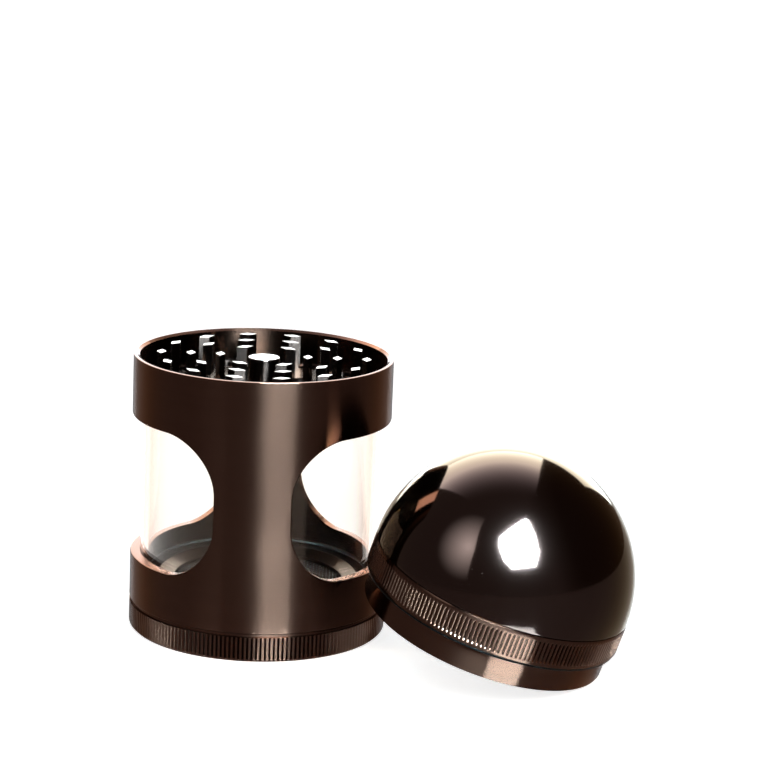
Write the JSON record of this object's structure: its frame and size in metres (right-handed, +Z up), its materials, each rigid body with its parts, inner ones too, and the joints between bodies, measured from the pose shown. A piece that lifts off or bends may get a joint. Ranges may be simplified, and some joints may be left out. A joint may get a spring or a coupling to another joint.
{
  "type": "herb grinder",
  "caption": "Cylindrical windowed herb grinder with toothed grinding plate, clear inner tube, screen, screw-on catcher and a dome lid taken off beside it.",
  "frame": {"origin": "on the floor, at the middle of the catcher's flat base", "axes": "+Z up along the body's axis, +X through the middle of the right window, -Y through the front pillar"},
  "size_m": [0.1222, 0.0881, 0.0678],
  "materials": {
    "dark_anodised": "dark anodised, turned",
    "dome_polish": "mirror-polished black",
    "cut_metal": "milled and anodised",
    "clear_tube": "clear polished acrylic",
    "magnet_nickel": "nickel plated",
    "screen_steel": "woven wire",
    "seal_rubber": "matt silicone",
    "glide_plastic": "low-friction plastic"
  },
  "bodies": {
    "catcher": {"catcher_cup": "dark_anodised", "screen_mesh": "screen_steel", "screen_ring": "cut_metal"},
    "tube": {"window_tube": "clear_tube", "tube_seal_bottom": "seal_rubber", "tube_seal_top": "seal_rubber"},
    "sleeve": {"body_sleeve": "dark_anodised", "grind_plate": "cut_metal", "plate_teeth": "cut_metal", "plate_magnet": "magnet_nickel"},
    "lid_glide": {"glide_ring": "glide_plastic"},
    "lid": {"lid_tooth_plate": "dark_anodised", "lid_magnet": "magnet_nickel", "dome_cap": "dome_polish"}
  },
  "joints": [
    {"name": "sleeve_rise", "type": "slide", "parent": "catcher", "child": "tube", "axis": [0, 0, 1], "range_m": [0, 0.00451]},
    {"name": "sleeve_turn", "type": "hinge", "parent": "tube", "child": "sleeve", "pos_m": [0, 0, 0.037], "axis": [0, 0, 1], "range_deg": [0, 1080]},
    {"name": "lid_lift", "type": "slide", "parent": "catcher", "child": "lid_glide", "axis": [0.2915, -0.0938, 0.952], "range_m": [0, 0.06]},
    {"name": "lid_turn", "type": "hinge", "parent": "lid_glide", "child": "lid", "pos_m": [0.05525, -0.02385, 0.00905], "axis": [0.2915, -0.0938, 0.952], "continuous": true}
  ],
  "couplings": [
    {"joint": "sleeve_rise", "follows": "sleeve_turn", "m_per_rad": 0.00023873}
  ]
}
